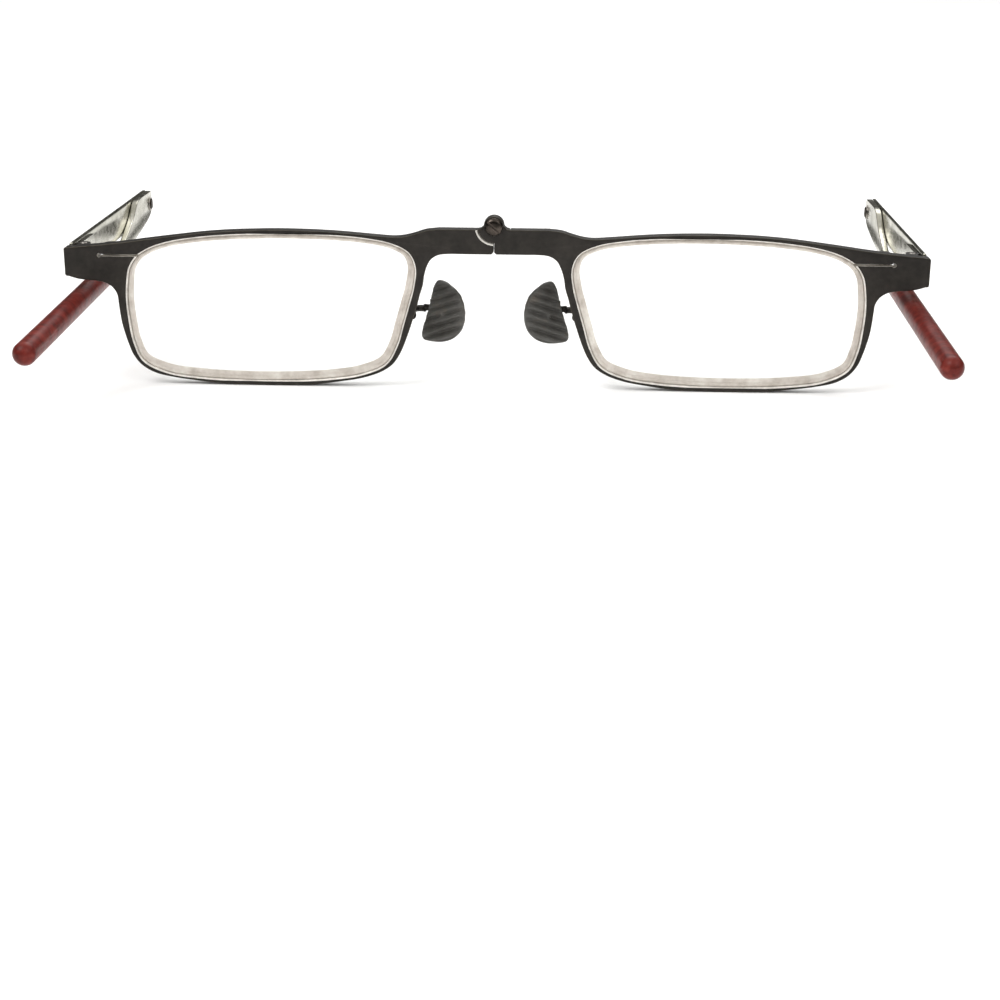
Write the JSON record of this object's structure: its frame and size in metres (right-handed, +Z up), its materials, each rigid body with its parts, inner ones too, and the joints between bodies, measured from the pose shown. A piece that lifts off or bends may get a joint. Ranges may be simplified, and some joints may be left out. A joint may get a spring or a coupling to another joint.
{
  "type": "folding reading glasses",
  "caption": "Slim metal reading glasses whose bridge folds flat on a round pivot, with hinged temple bands and rear arms that turn back beneath them.",
  "frame": {"origin": "centre of the open glasses' footprint, at the bottom of the rims", "axes": "+X to the wearer's left, +Y from the front face back towards the wearer, +Z up"},
  "size_m": [0.126, 0.082, 0.0256],
  "materials": {
    "frame_metal": "dark gunmetal, satin",
    "band_steel": "polished",
    "screw_steel": "satin",
    "lens_glass": "clear",
    "pad_silicone": "ribbed, matte",
    "tip_plastic": "glossy red-brown"
  },
  "bodies": {
    "right_half": {"front_right": "frame_metal", "lens_right": "lens_glass", "lock_barrel_upper_right": "frame_metal", "lock_barrel_lower_right": "frame_metal", "lock_screw_right": "screw_steel", "hinge_front_leaf_right": "frame_metal", "hinge_screw_right": "screw_steel", "pad_arm_right": "frame_metal", "nose_pad_right": "pad_silicone", "bridge_screw": "screw_steel", "bridge_washer": "screw_steel", "bridge_nut": "screw_steel"},
    "left_half": {"front_left": "frame_metal", "lens_left": "lens_glass", "lock_barrel_upper_left": "frame_metal", "lock_barrel_lower_left": "frame_metal", "lock_screw_left": "screw_steel", "hinge_front_leaf_left": "frame_metal", "hinge_screw_left": "screw_steel", "pad_arm_left": "frame_metal", "nose_pad_left": "pad_silicone"},
    "left_temple": {"temple_band_left": "band_steel", "hinge_temple_leaf_left": "band_steel", "pivot_rivet_left": "screw_steel", "pivot_washer_left": "screw_steel"},
    "left_arm": {"rear_arm_left": "band_steel", "arm_tip_left": "tip_plastic"},
    "right_temple": {"temple_band_right": "band_steel", "hinge_temple_leaf_right": "band_steel", "pivot_rivet_right": "screw_steel", "pivot_washer_right": "screw_steel"},
    "right_arm": {"rear_arm_right": "band_steel", "arm_tip_right": "tip_plastic"}
  },
  "joints": [
    {"name": "bridge_fold", "type": "hinge", "parent": "right_half", "child": "left_half", "pos_m": [0, -0.00983, 0.02413], "axis": [0, -1, 0], "range_deg": [0, 177]},
    {"name": "left_temple_hinge", "type": "hinge", "parent": "left_half", "child": "left_temple", "pos_m": [0.061, -0.00664, 0.01843], "axis": [0, 0, 1], "range_deg": [-5, 90]},
    {"name": "right_temple_hinge", "type": "hinge", "parent": "right_half", "child": "right_temple", "pos_m": [-0.061, -0.00664, 0.01843], "axis": [0, 0, -1], "range_deg": [-5, 90]},
    {"name": "left_arm_pivot", "type": "hinge", "parent": "left_temple", "child": "left_arm", "pos_m": [0.0615, 0.03846, 0.01858], "axis": [-1, 0, 0], "range_deg": [-165, 1.5]},
    {"name": "right_arm_pivot", "type": "hinge", "parent": "right_temple", "child": "right_arm", "pos_m": [-0.0615, 0.03846, 0.01858], "axis": [-1, 0, 0], "range_deg": [-165, 1.5]}
  ]
}
